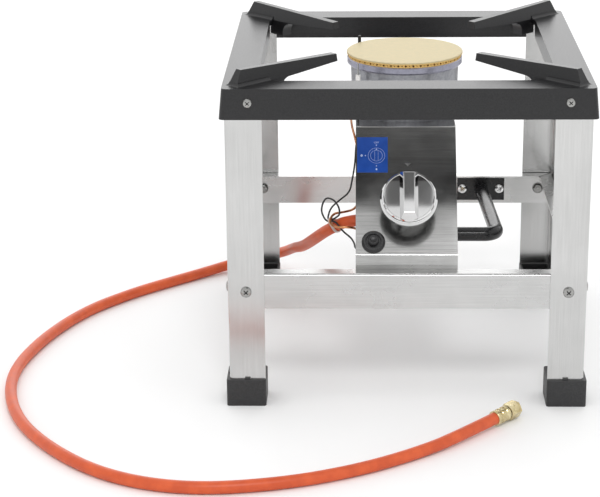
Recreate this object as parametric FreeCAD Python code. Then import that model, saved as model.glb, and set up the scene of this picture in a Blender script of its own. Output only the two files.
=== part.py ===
import FreeCAD, Part
import math
import os

# Square stool for one large gas burner: cast iron pot support on four steel
# angle legs, four rails, a bent control panel, the burner with its tap and
# igniter, and a gas hose that lies on the floor. Millimetres, +Z up, the
# origin on the floor under the middle of the stool, -Y towards the user.

os.makedirs("parts", exist_ok=True)

V = FreeCAD.Vector
ACROSS = V(1, 0, 0)
BACK = V(0, 1, 0)
UP = V(0, 0, 1)
MIDDLE = V(0, 0, 0)

# Pot support casting
support_top = 363.0
support_span = 397.0
support_corner_radius = 6.0
apron_height = 33.0
apron_wall = 2.5
apron_draft = 3.0
flange_width = 36.5
flange_thickness = 5.0
opening_corner_radius = 30.0
lip_drop = 21.5
lip_wall = 4.0
lip_half_length = 148.0
lip_end_radius = 16.0

# Four ridges of the casting that carry the pot, measured along the diagonals
ridge_outer_reach = 262.0
ridge_tip_reach = 114.0
ridge_outer_height = 17.0
ridge_tip_height = 11.5
ridge_tip_depth = 8.0
ridge_heel_run = 7.0
ridge_crest_width = 7.0
ridge_root_width = 14.0
ridge_pad_radius = 4.0
ridge_root_drop = 0.7
ridge_gusset_reach = 199.0
ridge_gusset_fillet = 12.0
ridge_gusset_drop = 17.0

# Legs, feet and rails
steel_sheet = 2.0
leg_width = 40.0
bend_radius = 3.0
foot_wall = 3.5
foot_height = 31.0
foot_sole = 4.0
foot_corner_radius = 3.0
foot_core_wall = 3.0
foot_tab = 6.0
foot_tab_rise = 2.0
rail_height = 40.0
rail_flange = 17.0
rail_bottom = 114.0
mitre_gap = 2.3

# Screws and nuts
rail_screw_radius = 3.0
support_screw_radius = 2.5
screw_clearance = 0.25
screw_head_ratio = 2.0
screw_head_height = 3.0
screw_tail = 1.5
nut_height = 5.0
nut_flange_height = 1.2
support_screw_drop = 15.0
support_screw_inset = 5.5

# Control panel
panel_width = 112.0
panel_sheet = 1.5
panel_tilt = 40.0
panel_top = 289.0
panel_lip_height = 16.0
panel_foot = 14.0
panel_gap = 0.2
panel_back = 62.0
panel_air_radius = 40.0
label_width = 34.2
label_height = 43.0
label_inset = 1.5
label_drop = 13.5
label_thickness = 0.3

# Burner
cup_foot_radius = 60.0
cup_rim_radius = 62.0
cup_wall = 3.0
cup_top = 344.5
cup_floor = 3.0
cup_floor_inner_radius = 38.0
boss_radius = 12.0
boss_height = 11.0
boss_drop = 4.0
arm_width = 9.0
ear_radius = 6.5
ear_thickness = 6.0
ear_height = 23.0
collar_radius = 66.0
collar_top = 353.0
collar_wall = 5.0
spigot_depth = 6.0
mixer_bore_radius = 13.0
mixer_wall = 2.5
mixer_drop = 34.0
cap_radius = 66.5
cap_top = 359.0
cap_plate = 2.5
band_radius = 64.8
band_wall = 3.8
register_depth = 2.5
port_count = 48
port_radius = 1.2
pilot_port_radius = 0.6
seat_clearance = 0.3

# Injector and the pipe that feeds it
injector_radius = 5.0
injector_hex = 12.0
injector_head = 6.0
jet_radius = 0.6
pipe_radius = 4.0
pipe_nut_hex = 14.0
pipe_nut_length = 10.0
pipe_bend_radius = 16.0
pipe_level = 236.0

# Tap, knob and igniter, with heights measured out from the panel's face
tap_x = 2.0
tap_down = 102.0
spindle_radius = 4.0
spindle_clearance = 0.05
knob_radius = 29.5
knob_skirt_radius = 31.3
knob_face = 40.0
knob_disc = 8.0
knob_skirt = 2.5
knob_hub_radius = 16.5
knob_hub_flare = 19.5
knob_clear = 5.0
knob_wall = 2.5
grip_height = 12.0
grip_crest = 12.5
grip_root = 20.0
grip_length = 48.0
knob_socket = 24.0
push_travel = 4.0
bonnet_radius = 11.0
bonnet_depth = 12.0
tap_radius = 13.0
tap_depth = 34.0
plug_wide_radius = 8.0
plug_narrow_radius = 6.5
plug_length = 22.5
plug_clearance = 0.05
tang_width = 3.0
tang_depth = 6.0
tang_half = 3.7
pin_radius = 1.4
pin_reach = 4.0
port_bore_radius = 2.2
tap_port_level = 28.0
magnet_radius = 9.0
magnet_length = 24.0
magnet_bore_radius = 3.0
igniter_x = -36.5
igniter_down = 140.0
igniter_bezel_radius = 13.0
igniter_bezel_height = 3.6
igniter_body_radius = 10.6
igniter_body_depth = 30.0
igniter_button_radius = 6.0
igniter_button_rise = 8.5
igniter_button_root = 10.0
igniter_travel = 5.0
igniter_terminal = 8.0
button_clearance = 0.1

# Electrode and thermocouple, beside the cup
electrode_place = V(-53.5, -46.0, 0)
thermocouple_place = V(-52.0, 47.0, 0)
ceramic_radius = 2.8
ceramic_top = 341.0
ceramic_bottom = 300.0
rod_radius = 0.8
rod_top = 354.0
probe_radius = 2.0
probe_top = 366.0
probe_bottom = 310.0
holder_radius = 4.5
holder_height = 3.0

# Arm that carries the burner from the rear rail
arm_x = 103.0
arm_tube_radius = 8.5
arm_tube_wall = 1.5
arm_elbow_x = 112.0
arm_elbow_radius = 15.0
arm_post_bend_radius = 24.0
arm_turn_y = 5.0
arm_post_x = 34.0
arm_plate_width = 60.0
arm_plate_height = 32.0
arm_plate_rise = 0.8
arm_plate_thickness = 3.0
arm_bolt_spacing = 47.0
saddle_depth = 56.0
saddle_thickness = 3.0
saddle_margin = 5.0
saddle_screw_x = 50.0

# Gas hose and its fittings
hose_radius = 6.65
ferrule_radius = 8.2
inlet_nut_hex = 17.0
inlet_nut_length = 11.0
inlet_ferrule_length = 14.0
end_ferrule_length = 21.0
end_nut_hex = 17.0
end_nut_length = 16.0
end_nut_gap = 1.5
end_nipple_radius = 4.8
end_collar_radius = 6.0
end_nut_back = 3.6
spin_clearance = 0.08
nut_bore_radius = 6.6
nut_relief_radius = 7.0
nut_relief_length = 4.2
end_height = 9.95
capillary_radius = 1.3
lead_radius = 1.0
tie_width = 3.0
tie_thickness = 1.1
tie_slack = 0.15
bundle_radius = 2.7
bundle_reach = 8.95
bundle_turn = 35.0
bundle_step = 13.5

# Levels and faces that follow from the sizes above
leg_face = support_span / 2 - apron_wall
leg_inside = leg_face - steel_sheet
leg_middle = leg_face - leg_width / 2
support_screw_x = leg_middle - support_screw_inset
rail_top = rail_bottom + rail_height
rail_middle = rail_bottom + rail_height / 2
rail_inside = leg_inside - steel_sheet
rail_edge = leg_inside - rail_flange
flange_underside = support_top - flange_thickness
tilt = math.radians(panel_tilt)
lip_face = -rail_edge + panel_gap
panel_low = rail_top + panel_lip_height
panel_front_edge = lip_face + (panel_top - panel_low) * math.tan(tilt)
panel_underside = panel_top - panel_sheet
outward = V(0, -math.cos(tilt), math.sin(tilt))
upslope = V(0, math.sin(tilt), math.cos(tilt))


def save(name, shape):
    shape.exportStep("parts/" + name + ".step")


def block(x0, x1, y0, y1, z0, z1):
    return Part.makeBox(x1 - x0, y1 - y0, z1 - z0, V(x0, y0, z0))


def rod(start, direction, radius, length):
    return Part.makeCylinder(radius, length, start, direction)


def prism(points, depth):
    return Part.Face(Part.makePolygon(points + points[:1])).extrude(depth)


def hexagon(start, direction, across_flats, length):
    """Hexagonal bar whose corners are taken off by a cone at both ends."""
    corner = across_flats / math.sqrt(3)
    points = [
        V(corner * math.cos(math.radians(60 * k)), corner * math.sin(math.radians(60 * k)), 0)
        for k in range(6)
    ]
    bar = prism(points, V(0, 0, length))
    chamfer = 0.12 * across_flats
    slope = chamfer * 0.5
    envelope = revolve([(0, 0), (corner - chamfer, 0), (corner, slope), (corner, length - slope),
                        (corner - chamfer, length), (0, length)])
    return aim(bar.common(envelope), start, direction)


def revolve(profile):
    """Solid of revolution about +Z from (radius, height) pairs."""
    points = [V(radius, 0, height) for radius, height in profile]
    face = Part.Face(Part.makePolygon(points + points[:1]))
    return face.revolve(MIDDLE, UP, 360)


def aim(shape, start, direction):
    """Moves a shape made along +Z to a point and a direction, keeping its X axis level."""
    level = ACROSS if direction.cross(UP).Length < 0.01 else UP.cross(direction).normalize()
    moved = shape.copy()
    rotation = FreeCAD.Rotation(level, direction.cross(level), direction, "ZXY")
    moved.Placement = FreeCAD.Placement(start, rotation)
    return moved


def quarter_turns(shape, turns):
    moved = shape.copy()
    moved.rotate(MIDDLE, UP, 90 * turns)
    return moved


def on_panel(shape, x, down):
    """Seats a shape made with +Z as the outward normal on the sloping face."""
    moved = shape.copy()
    rotation = FreeCAD.Rotation(ACROSS, 90 - panel_tilt)
    moved.Placement = FreeCAD.Placement(panel_point(x, down, 0), rotation)
    return moved


def panel_point(x, down, out):
    start = V(x, panel_front_edge, panel_top)
    return start - upslope * down + outward * out


def rounded_square(half, radius, z):
    straight = half - radius
    edges = []
    for turn in range(4):
        spin = FreeCAD.Rotation(UP, 90 * turn)
        a = spin.multVec(V(-straight, -half, z))
        b = spin.multVec(V(straight, -half, z))
        middle = radius * math.sqrt(0.5)
        c = spin.multVec(V(straight + middle, -straight - middle, z))
        d = spin.multVec(V(half, -straight, z))
        edges.append(Part.LineSegment(a, b).toShape())
        edges.append(Part.Arc(b, c, d).toShape())
    return Part.Wire(edges)


def square_bar(half, radius, z0, z1):
    return Part.Face(rounded_square(half, radius, z0)).extrude(V(0, 0, z1 - z0))


def bend_path(points, radii):
    """Straight runs joined by tangent arcs of the given radii."""
    edges = []
    start = points[0]
    for before, corner, after, radius in zip(points, points[1:], points[2:], radii):
        into = (corner - before).normalize()
        away = (after - corner).normalize()
        turn = into.getAngle(away)
        trim = radius * math.tan(turn / 2)
        first = corner - into * trim
        last = corner + away * trim
        inward = (away - into).normalize()
        centre = corner + inward * (radius / math.cos(turn / 2))
        edges.append(Part.LineSegment(start, first).toShape())
        edges.append(Part.Arc(first, centre - inward * radius, last).toShape())
        start = last
    edges.append(Part.LineSegment(start, points[-1]).toShape())
    return Part.Wire(edges)


def easy_radii(points):
    """The largest arc at each corner that leaves a tenth of the shorter run straight."""
    radii = []
    for before, corner, after in zip(points, points[1:], points[2:]):
        shorter = min((corner - before).Length, (after - corner).Length)
        turn = (corner - before).getAngle(after - corner)
        radii.append(0.45 * shorter / math.tan(turn / 2))
    return radii


def tube(points, radii, radius):
    path = bend_path(points, radii)
    start = points[0]
    section = Part.Wire(Part.makeCircle(radius, start, points[1] - start))
    return path.makePipeShell([section], True, False), path.Length


def cord(name, points, radius):
    """A flexible line on its route; prints its radii and tests its volume."""
    radii = easy_radii(points)
    solid, length = tube(points, radii, radius)
    print(name, "length", round(length, 1), "radii", [round(r) for r in radii])
    print(name, "volume ratio", round(solid.Volume / (math.pi * radius ** 2 * length), 4))
    return solid


# Pot support
half_span = support_span / 2
apron_bottom = support_top - apron_height
opening = half_span - flange_width


def support_body():
    outline = Part.makeLoft(
        [
            rounded_square(half_span + apron_draft, support_corner_radius, apron_bottom),
            rounded_square(half_span, support_corner_radius, support_top),
        ],
        True, True,
    )
    hollow = square_bar(leg_face, steel_sheet, apron_bottom, flange_underside)
    mouth = square_bar(opening, opening_corner_radius, apron_bottom, support_top)
    return outline.cut(hollow).cut(mouth)


def support_lip():
    """Stiffening web under the rim of the opening, with a run-out at each end."""
    low = support_top - lip_drop
    straight = lip_half_length - lip_end_radius
    near = lip_end_radius * (1 - math.sqrt(0.5))
    y = -opening - lip_wall
    shoulder = low + lip_end_radius
    edges = [
        Part.LineSegment(V(-straight, y, low), V(straight, y, low)).toShape(),
        Part.Arc(V(straight, y, low), V(lip_half_length - near, y, low + near),
                 V(lip_half_length, y, shoulder)).toShape(),
        Part.LineSegment(V(lip_half_length, y, shoulder),
                         V(lip_half_length, y, flange_underside)).toShape(),
        Part.LineSegment(V(lip_half_length, y, flange_underside),
                         V(-lip_half_length, y, flange_underside)).toShape(),
        Part.LineSegment(V(-lip_half_length, y, flange_underside),
                         V(-lip_half_length, y, shoulder)).toShape(),
        Part.Arc(V(-lip_half_length, y, shoulder), V(near - lip_half_length, y, low + near),
                 V(-straight, y, low)).toShape(),
    ]
    return Part.Face(Part.Wire(edges)).extrude(V(0, lip_wall, 0))


def support_ridge():
    """One pot-carrying ridge, on the +X axis before it is turned to its corner."""
    base = support_top
    crest_end = ridge_outer_reach - ridge_heel_run
    pad = ridge_pad_radius
    soft = pad * (1 - math.sqrt(0.5))
    inner_corner = math.sqrt(2) * opening - (math.sqrt(2) - 1) * opening_corner_radius
    tip_top = base + ridge_tip_height
    tip_bottom = tip_top - ridge_tip_depth
    root_low = base - ridge_root_drop
    gusset_low = base - ridge_gusset_drop
    gusset_start = ridge_gusset_reach - ridge_gusset_fillet
    gusset_soft = ridge_gusset_fillet * (1 - math.sqrt(0.5))
    root_end = inner_corner + lip_wall
    half = ridge_root_width / 2 + pad
    side = [
        Part.Arc(V(ridge_outer_reach + pad, -half, base), V(ridge_outer_reach + soft, -half, base + soft),
                 V(ridge_outer_reach, -half, base + pad)).toShape(),
        Part.LineSegment(V(ridge_outer_reach, -half, base + pad),
                         V(crest_end, -half, base + ridge_outer_height)).toShape(),
        Part.LineSegment(V(crest_end, -half, base + ridge_outer_height),
                         V(ridge_tip_reach, -half, tip_top)).toShape(),
        Part.LineSegment(V(ridge_tip_reach, -half, tip_top), V(ridge_tip_reach, -half, tip_bottom)).toShape(),
        Part.LineSegment(V(ridge_tip_reach, -half, tip_bottom), V(gusset_start, -half, root_low)).toShape(),
        Part.Arc(V(gusset_start, -half, root_low),
                 V(ridge_gusset_reach - gusset_soft, -half, root_low - gusset_soft),
                 V(ridge_gusset_reach, -half, root_low - ridge_gusset_fillet)).toShape(),
        Part.LineSegment(V(ridge_gusset_reach, -half, root_low - ridge_gusset_fillet),
                         V(ridge_gusset_reach, -half, gusset_low)).toShape(),
        Part.LineSegment(V(ridge_gusset_reach, -half, gusset_low), V(root_end, -half, gusset_low)).toShape(),
        Part.LineSegment(V(root_end, -half, gusset_low), V(root_end, -half, flange_underside)).toShape(),
        Part.LineSegment(V(root_end, -half, flange_underside),
                         V(ridge_outer_reach + pad, -half, flange_underside)).toShape(),
        Part.LineSegment(V(ridge_outer_reach + pad, -half, flange_underside),
                         V(ridge_outer_reach + pad, -half, base)).toShape(),
    ]
    side_bar = Part.Face(Part.Wire(side)).extrude(V(0, 2 * half, 0))
    high = base + ridge_outer_height
    root = ridge_root_width / 2
    crest = ridge_crest_width / 2
    far = ridge_outer_reach + 2 * pad
    bar = prism(
        [V(0, -root, gusset_low), V(0, -root, base), V(0, -crest, high), V(0, crest, high),
         V(0, root, base), V(0, root, gusset_low)],
        V(far, 0, 0),
    )
    foot_section = [
        Part.Arc(V(0, -root - pad, base), V(0, -root - soft, base + soft), V(0, -root, base + pad)).toShape(),
        Part.LineSegment(V(0, -root, base + pad), V(0, root, base + pad)).toShape(),
        Part.Arc(V(0, root, base + pad), V(0, root + soft, base + soft), V(0, root + pad, base)).toShape(),
        Part.LineSegment(V(0, root + pad, base), V(0, root + pad, base - 1)).toShape(),
        Part.LineSegment(V(0, root + pad, base - 1), V(0, -root - pad, base - 1)).toShape(),
        Part.LineSegment(V(0, -root - pad, base - 1), V(0, -root - pad, base)).toShape(),
    ]
    foot = Part.Face(Part.Wire(foot_section)).extrude(V(far - inner_corner, 0, 0))
    foot.translate(V(inner_corner, 0, 0))
    return side_bar.common(bar).fuse(side_bar.common(foot))


pot_support = support_body()
for turn in range(4):
    pot_support = pot_support.fuse(quarter_turns(support_lip(), turn))
ridge = support_ridge()
for turn in range(4):
    corner_ridge = ridge.copy()
    corner_ridge.rotate(MIDDLE, UP, 45 + 90 * turn)
    pot_support = pot_support.fuse(corner_ridge)

support_screw_z = support_top - support_screw_drop
head_face = half_span + apron_draft * support_screw_drop / apron_height
screw_reach = half_span + 2 * apron_draft
spot_radius = screw_head_ratio * support_screw_radius + 0.4
for side in (-1, 1):
    for x in (-support_screw_x, support_screw_x):
        hole = rod(V(x, side * screw_reach, support_screw_z), V(0, -side, 0),
                   support_screw_radius + screw_clearance, apron_wall + 3 * apron_draft)
        spot = rod(V(x, side * screw_reach, support_screw_z), V(0, -side, 0), spot_radius,
                   screw_reach - head_face)
        pot_support = pot_support.cut(hole).cut(spot)
save("pot_support", pot_support.removeSplitter())


# Legs: one angle, turned to the four corners
def angle_bar(width, sheet, bend, height):
    inner = bend - sheet
    far = bend * (1 - math.sqrt(0.5))
    near = sheet + inner * (1 - math.sqrt(0.5))
    edges = [
        Part.LineSegment(V(bend, 0, 0), V(width, 0, 0)).toShape(),
        Part.LineSegment(V(width, 0, 0), V(width, sheet, 0)).toShape(),
        Part.LineSegment(V(width, sheet, 0), V(bend, sheet, 0)).toShape(),
        Part.Arc(V(bend, sheet, 0), V(near, near, 0), V(sheet, bend, 0)).toShape(),
        Part.LineSegment(V(sheet, bend, 0), V(sheet, width, 0)).toShape(),
        Part.LineSegment(V(sheet, width, 0), V(0, width, 0)).toShape(),
        Part.LineSegment(V(0, width, 0), V(0, bend, 0)).toShape(),
        Part.Arc(V(0, bend, 0), V(far, far, 0), V(bend, 0, 0)).toShape(),
    ]
    return Part.Face(Part.Wire(edges)).extrude(V(0, 0, height))


corner_names = ["front_left", "front_right", "rear_right", "rear_left"]
side_names = ["front", "right", "rear", "left"]
leg_length = flange_underside - foot_sole
leg = angle_bar(leg_width, steel_sheet, bend_radius, leg_length)
leg.translate(V(-leg_face, -leg_face, foot_sole))
rail_hole = rail_screw_radius + screw_clearance
leg = leg.cut(rod(V(-leg_middle, -leg_face, rail_middle), BACK, rail_hole, steel_sheet))
leg = leg.cut(rod(V(-leg_face, -leg_middle, rail_middle), ACROSS, rail_hole, steel_sheet))
support_hole = support_screw_radius + screw_clearance
front_cut = rod(V(-support_screw_x, -leg_face, support_screw_z), BACK, support_hole, steel_sheet)
side_cut = rod(V(-leg_face, -support_screw_x, support_screw_z), ACROSS, support_hole, steel_sheet)
for turn, corner in enumerate(corner_names):
    cut = front_cut if turn % 2 == 0 else side_cut
    save("leg_" + corner, quarter_turns(leg.cut(cut), turn))


# Feet: square caps with a slot for the angle and a hollow core
def foot_cap():
    low = -leg_face - foot_wall
    high = low + leg_width + foot_wall + 0.5
    cap = block(low, high, low, high, 0, foot_height)
    upright = [e for e in cap.Edges if abs(e.Vertexes[0].Z - e.Vertexes[1].Z) > foot_height / 2]
    cap = cap.makeFillet(foot_corner_radius, upright)
    rim = [e for e in cap.Edges if all(abs(v.Z - foot_height) < 0.01 for v in e.Vertexes)]
    cap = cap.makeFillet(1.0, rim)
    slot = angle_bar(leg_width, steel_sheet, bend_radius, foot_height)
    slot.translate(V(-leg_face, -leg_face, foot_sole))
    core_low = -leg_face + steel_sheet + foot_core_wall
    core_high = high - foot_core_wall
    core = block(core_low, core_high, core_low, core_high, foot_sole, foot_height)
    cap = cap.cut(slot).cut(core)
    middle = -leg_middle
    tab_low = foot_height - foot_tab_rise
    tab = block(middle - foot_tab / 2, middle + foot_tab / 2, low + 1.2, -leg_face,
                tab_low, foot_height + foot_tab_rise)
    side_tab = block(low + 1.2, -leg_face, middle - foot_tab / 2, middle + foot_tab / 2,
                     tab_low, foot_height + foot_tab_rise)
    return cap.fuse(tab).fuse(side_tab).removeSplitter()


foot = foot_cap()
for turn, corner in enumerate(corner_names):
    save("foot_" + corner, quarter_turns(foot, turn))


# Rails: a web with an inward flange on top, mitred at the corners
def rail_bar():
    inner = bend_radius - steel_sheet
    far = bend_radius * (1 - math.sqrt(0.5))
    near = steel_sheet + inner * (1 - math.sqrt(0.5))
    y = -leg_inside
    x = -leg_inside
    top = rail_top
    edges = [
        Part.LineSegment(V(x, y, rail_bottom), V(x, y, top - bend_radius)).toShape(),
        Part.Arc(V(x, y, top - bend_radius), V(x, y + far, top - far), V(x, y + bend_radius, top)).toShape(),
        Part.LineSegment(V(x, y + bend_radius, top), V(x, -rail_edge, top)).toShape(),
        Part.LineSegment(V(x, -rail_edge, top), V(x, -rail_edge, top - steel_sheet)).toShape(),
        Part.LineSegment(V(x, -rail_edge, top - steel_sheet),
                         V(x, y + bend_radius, top - steel_sheet)).toShape(),
        Part.Arc(V(x, y + bend_radius, top - steel_sheet), V(x, y + near, top - near),
                 V(x, y + steel_sheet, top - bend_radius)).toShape(),
        Part.LineSegment(V(x, y + steel_sheet, top - bend_radius),
                         V(x, y + steel_sheet, rail_bottom)).toShape(),
        Part.LineSegment(V(x, y + steel_sheet, rail_bottom), V(x, y, rail_bottom)).toShape(),
    ]
    bar = Part.Face(Part.Wire(edges)).extrude(V(2 * leg_inside, 0, 0))
    wide = leg_inside - mitre_gap / 2
    narrow = rail_edge - leg_width - mitre_gap / 2
    mitre = prism(
        [
            V(-wide, -leg_inside, rail_bottom),
            V(wide, -leg_inside, rail_bottom),
            V(narrow, -rail_edge + leg_width, rail_bottom),
            V(-narrow, -rail_edge + leg_width, rail_bottom),
        ],
        V(0, 0, rail_height),
    )
    bar = bar.common(mitre)
    for hole_x in (-leg_middle, leg_middle):
        bar = bar.cut(rod(V(hole_x, -leg_inside, rail_middle), BACK, rail_hole, steel_sheet))
    return bar


rail = rail_bar()
arm_holes = [V(arm_x - arm_bolt_spacing / 2, 0, 0), V(arm_x + arm_bolt_spacing / 2, 0, 0)]
for turn, side in enumerate(side_names):
    placed = quarter_turns(rail, turn)
    if side == "rear":
        for place in arm_holes:
            placed = placed.cut(rod(V(place.x, rail_inside, rail_middle), BACK, rail_hole, steel_sheet))
    save("rail_" + side, placed)


# Screws and nuts
def cross_recess(radius, top):
    """Tapered cross that a driver turns, cut down from the top of a screw head."""
    half = 0.2 * radius
    low = top - 0.6 * radius
    wing = prism([V(-radius, -half, top), V(radius, -half, top), V(0.4 * radius, -half, low),
                  V(-0.4 * radius, -half, low)], V(0, 2 * half, 0))
    wing.rotate(MIDDLE, UP, 45)
    other = wing.copy()
    other.rotate(MIDDLE, UP, 90)
    return wing.fuse(other)


def pan_screw(radius, grip):
    """Pan head above z = 0 and shank below it."""
    head = screw_head_ratio * radius
    tall = screw_head_height
    screw = revolve([(0, -grip), (radius, -grip), (radius, 0), (head, 0), (head, 0.45 * tall),
                     (0.86 * head, 0.8 * tall), (0.5 * head, tall), (0, tall)])
    return screw.cut(cross_recess(radius, tall))


def flange_nut(radius):
    """Hexagon nut with its own washer face at z = 0, standing towards +Z."""
    flange = rod(MIDDLE, UP, 2.3 * radius, nut_flange_height)
    body = hexagon(V(0, 0, nut_flange_height), UP, 3.3 * radius, nut_height - nut_flange_height)
    return flange.fuse(body).cut(rod(MIDDLE, UP, radius, nut_height))


rail_grip = 2 * steel_sheet + nut_height + screw_tail
rail_screws = []
rail_nuts = []
for turn in range(4):
    for x in (-leg_middle, leg_middle):
        screw = aim(pan_screw(rail_screw_radius, rail_grip), V(x, -leg_face, rail_middle), -BACK)
        nut = aim(flange_nut(rail_screw_radius), V(x, -rail_inside, rail_middle), BACK)
        rail_screws.append(quarter_turns(screw, turn))
        rail_nuts.append(quarter_turns(nut, turn))
save("rail_screws", Part.makeCompound(rail_screws))
save("rail_nuts", Part.makeCompound(rail_nuts))

support_grip = head_face - leg_inside + nut_height + screw_tail
support_screws = []
support_nuts = []
for turn in (0, 2):
    for x in (-support_screw_x, support_screw_x):
        screw = aim(pan_screw(support_screw_radius, support_grip), V(x, -head_face, support_screw_z), -BACK)
        nut = aim(flange_nut(support_screw_radius), V(x, -leg_inside, support_screw_z), BACK)
        support_screws.append(quarter_turns(screw, turn))
        support_nuts.append(quarter_turns(nut, turn))
save("support_screws", Part.makeCompound(support_screws))
save("support_nuts", Part.makeCompound(support_nuts))


# Control panel: one bent sheet from the front rail up and back under the burner
def panel_sheet_body():
    x = -panel_width / 2
    t = panel_sheet
    foot_top = rail_top - steel_sheet
    foot_front = lip_face - panel_foot
    bend_in = t * math.tan(tilt / 2)
    knee = t * math.tan((math.pi / 2 - tilt) / 2)
    points = [
        V(x, panel_back, panel_top),
        V(x, panel_front_edge, panel_top),
        V(x, lip_face, panel_low),
        V(x, lip_face, foot_top),
        V(x, foot_front, foot_top),
        V(x, foot_front, foot_top - t),
        V(x, lip_face + t, foot_top - t),
        V(x, lip_face + t, panel_low - bend_in),
        V(x, panel_front_edge + knee, panel_underside),
        V(x, panel_back, panel_underside),
    ]
    sheet = prism(points, V(panel_width, 0, 0))
    for corner, radius in ((points[1], bend_radius), (points[8], bend_radius - t),
                           (points[2], bend_radius), (points[7], bend_radius - t),
                           (points[6], t)):
        bends = [
            e for e in sheet.Edges
            if all(abs(v.Y - corner.y) < 0.01 and abs(v.Z - corner.z) < 0.01 for v in e.Vertexes)
        ]
        sheet = sheet.makeFillet(radius, bends)
    return sheet


panel = panel_sheet_body()
panel = panel.cut(on_panel(rod(V(0, 0, -5), UP, spindle_radius + 2, 10), tap_x, tap_down))
panel = panel.cut(on_panel(rod(V(0, 0, -5), UP, igniter_body_radius, 10), igniter_x, igniter_down))
panel = panel.cut(rod(V(0, 0, panel_underside), UP, panel_air_radius, panel_sheet))
notch_half = lead_radius + 2
panel = panel.cut(block(-panel_width / 2, electrode_place.x + notch_half, electrode_place.y - notch_half,
                        electrode_place.y + notch_half, panel_underside, panel_top))
saddle_screw_radius = 2.0
for x in (-saddle_screw_x, saddle_screw_x):
    panel = panel.cut(rod(V(x, arm_turn_y, panel_underside), UP, saddle_screw_radius + screw_clearance,
                          panel_sheet))
save("control_panel", panel)

label = block(0, label_width, -label_height, 0, 0, label_thickness)
label = on_panel(label, label_inset - panel_width / 2, label_drop)
save("dial_label", label)


# Burner: cup, spreader with its mixing tube, and brass cap
def cup_ear(place):
    centre = V(place.x, place.y, panel_top + ear_height)
    ear = rod(centre, UP, ear_radius, ear_thickness)
    outwards = V(place.x, place.y, 0)
    reach = outwards.Length
    web = block(cup_foot_radius - 1, reach, -ear_radius, ear_radius, 0, ear_thickness)
    web.rotate(MIDDLE, UP, math.degrees(math.atan2(place.y, place.x)))
    web.translate(V(0, 0, panel_top + ear_height))
    return ear.fuse(web)


base = panel_top
cup = revolve([
    (cup_floor_inner_radius, base), (cup_foot_radius, base), (cup_rim_radius, cup_top),
    (cup_rim_radius - cup_wall, cup_top), (cup_foot_radius - cup_wall, base + cup_floor),
    (cup_floor_inner_radius, base + cup_floor),
])
boss = rod(V(0, 0, base - boss_drop), UP, boss_radius, boss_height + boss_drop)
cup = cup.fuse(boss)
for turn in range(3):
    arm = block(boss_radius - 2, cup_floor_inner_radius + 2, -arm_width / 2, arm_width / 2,
                base, base + cup_floor + 2)
    arm.rotate(MIDDLE, UP, 30 + 120 * turn)
    cup = cup.fuse(arm)
for place in (electrode_place, thermocouple_place):
    inner_core = revolve([
        (0, base), (cup_foot_radius - cup_wall, base), (cup_rim_radius - cup_wall, cup_top), (0, cup_top),
    ])
    cup = cup.fuse(cup_ear(place).cut(inner_core))
cup = cup.cut(rod(V(0, 0, base - boss_drop), UP, injector_radius, boss_height + boss_drop))
for place, radius in ((electrode_place, ceramic_radius), (thermocouple_place, probe_radius)):
    cup = cup.cut(rod(V(place.x, place.y, base), UP, radius, cup_top - base))
for x in (-saddle_screw_x, saddle_screw_x):
    cup = cup.cut(rod(V(x, arm_turn_y, base), UP, saddle_screw_radius, cup_floor))
save("burner_cup", cup.removeSplitter())

spigot_radius = cup_rim_radius - cup_wall - seat_clearance
plate_z = cup_top + 2
mixer_outer = mixer_bore_radius + mixer_wall
mixer_low = cup_top - mixer_drop
collar_inner = collar_radius - collar_wall
spreader = revolve([
    (mixer_bore_radius, mixer_low + 4), (mixer_bore_radius + 1.5, mixer_low), (mixer_outer + 1, mixer_low),
    (mixer_outer, mixer_low + 5), (mixer_outer, plate_z), (spigot_radius - 3, plate_z),
    (spigot_radius - 3, cup_top - spigot_depth), (spigot_radius, cup_top - spigot_depth),
    (spigot_radius, cup_top), (collar_radius - 2, cup_top), (collar_radius, cup_top + 2),
    (collar_radius, collar_top - 1), (collar_radius - 1, collar_top), (collar_inner, collar_top),
    (collar_inner, plate_z + 3), (mixer_bore_radius, plate_z + 3),
])
save("flame_spreader", spreader)

band_inner = band_radius - band_wall
cap_underside = cap_top - cap_plate
register_radius = collar_inner - seat_clearance
cap = revolve([
    (0, cap_underside), (band_inner - 3, cap_underside), (register_radius - 3, collar_top - register_depth),
    (register_radius, collar_top - register_depth), (register_radius, collar_top),
    (band_radius, collar_top), (band_radius, cap_underside), (cap_radius, cap_underside),
    (cap_radius, cap_top - 0.6), (cap_radius - 0.6, cap_top), (0, cap_top),
])
port_z = (collar_top + cap_underside) / 2 + 0.2
ports = []
for k in range(port_count):
    for angle, radius in ((k, port_radius), (k + 0.5, pilot_port_radius)):
        turn = math.radians(360 * angle / port_count)
        direction = V(math.cos(turn), math.sin(turn), 0)
        start = direction * (register_radius - 4)
        start.z = port_z
        ports.append(rod(start, direction, radius, cap_radius - register_radius + 4))
save("burner_cap", cap.cut(ports))


# Injector screwed into the cup's boss, with the nut and pipe that feed it
boss_low = base - boss_drop
boss_high = base + boss_height
injector_low = boss_low - pipe_nut_length / 2
injector = rod(V(0, 0, injector_low), UP, injector_radius, boss_high - injector_low)
injector = injector.fuse(hexagon(V(0, 0, boss_high), UP, injector_hex, injector_head))
injector = injector.fuse(rod(V(0, 0, boss_high + injector_head), UP, 3.0, 2.0))
injector = injector.cut(rod(V(0, 0, injector_low), UP, 2.5, boss_high + injector_head - 2 - injector_low))
injector = injector.cut(rod(V(0, 0, boss_high), UP, jet_radius, injector_head + 4))
save("injector", injector)

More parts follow.
